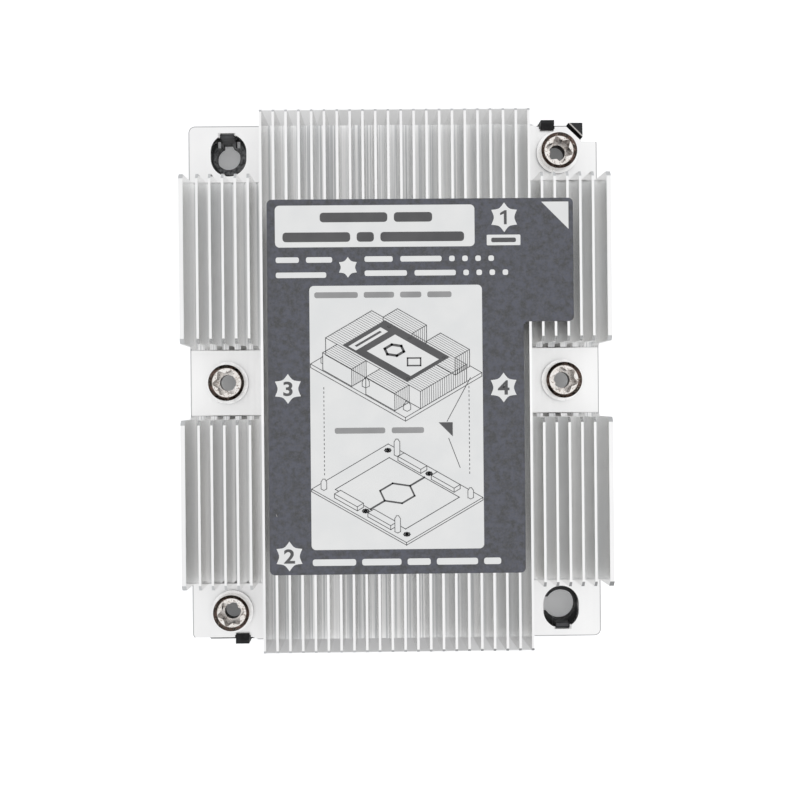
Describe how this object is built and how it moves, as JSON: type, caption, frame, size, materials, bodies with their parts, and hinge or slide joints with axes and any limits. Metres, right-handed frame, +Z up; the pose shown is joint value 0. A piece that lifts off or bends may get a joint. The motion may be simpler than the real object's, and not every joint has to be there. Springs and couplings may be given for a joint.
{
  "type": "processor heatsink",
  "caption": "Passive server processor heatsink: finned aluminium extrusion with side pockets, captive drive nuts, a printed label and a clip-on plastic processor carrier.",
  "frame": {"origin": "under the middle of the part, at the carrier's underside", "axes": "+Z up through the fins, +Y along the fins towards the corner with the raised triangle"},
  "size_m": [0.086, 0.1094, 0.0303],
  "materials": {
    "machined_aluminium": "satin as extruded, milled flats",
    "nickel_plate": "bright nickel plate",
    "spring_steel": "phosphated",
    "black_plastic": "moulded, satin",
    "printed_film": "printed film, semi-matt",
    "thermal_compound": "matt grey paste"
  },
  "bodies": {
    "heatsink": {"heatsink_body": "machined_aluminium", "processor_carrier": "black_plastic", "fin_label": "printed_film", "thermal_patch": "thermal_compound"},
    "nut_1": {"captive_nut_1": "nickel_plate", "retaining_ring_1": "spring_steel"},
    "nut_2": {"captive_nut_2": "nickel_plate", "retaining_ring_2": "spring_steel"},
    "nut_3": {"captive_nut_3": "nickel_plate", "retaining_ring_3": "spring_steel"},
    "nut_4": {"captive_nut_4": "nickel_plate", "retaining_ring_4": "spring_steel"}
  },
  "joints": [
    {"name": "nut_1_spin", "type": "hinge", "parent": "heatsink", "child": "nut_1", "pos_m": [0.0346, 0.0479, 0.0091], "axis": [0, 0, 1], "continuous": true},
    {"name": "nut_2_spin", "type": "hinge", "parent": "heatsink", "child": "nut_2", "pos_m": [-0.0346, -0.0479, 0.0091], "axis": [0, 0, 1], "continuous": true},
    {"name": "nut_3_spin", "type": "hinge", "parent": "heatsink", "child": "nut_3", "pos_m": [-0.0352, 0, 0.0091], "axis": [0, 0, 1], "continuous": true},
    {"name": "nut_4_spin", "type": "hinge", "parent": "heatsink", "child": "nut_4", "pos_m": [0.0352, 0, 0.0091], "axis": [0, 0, 1], "continuous": true}
  ]
}
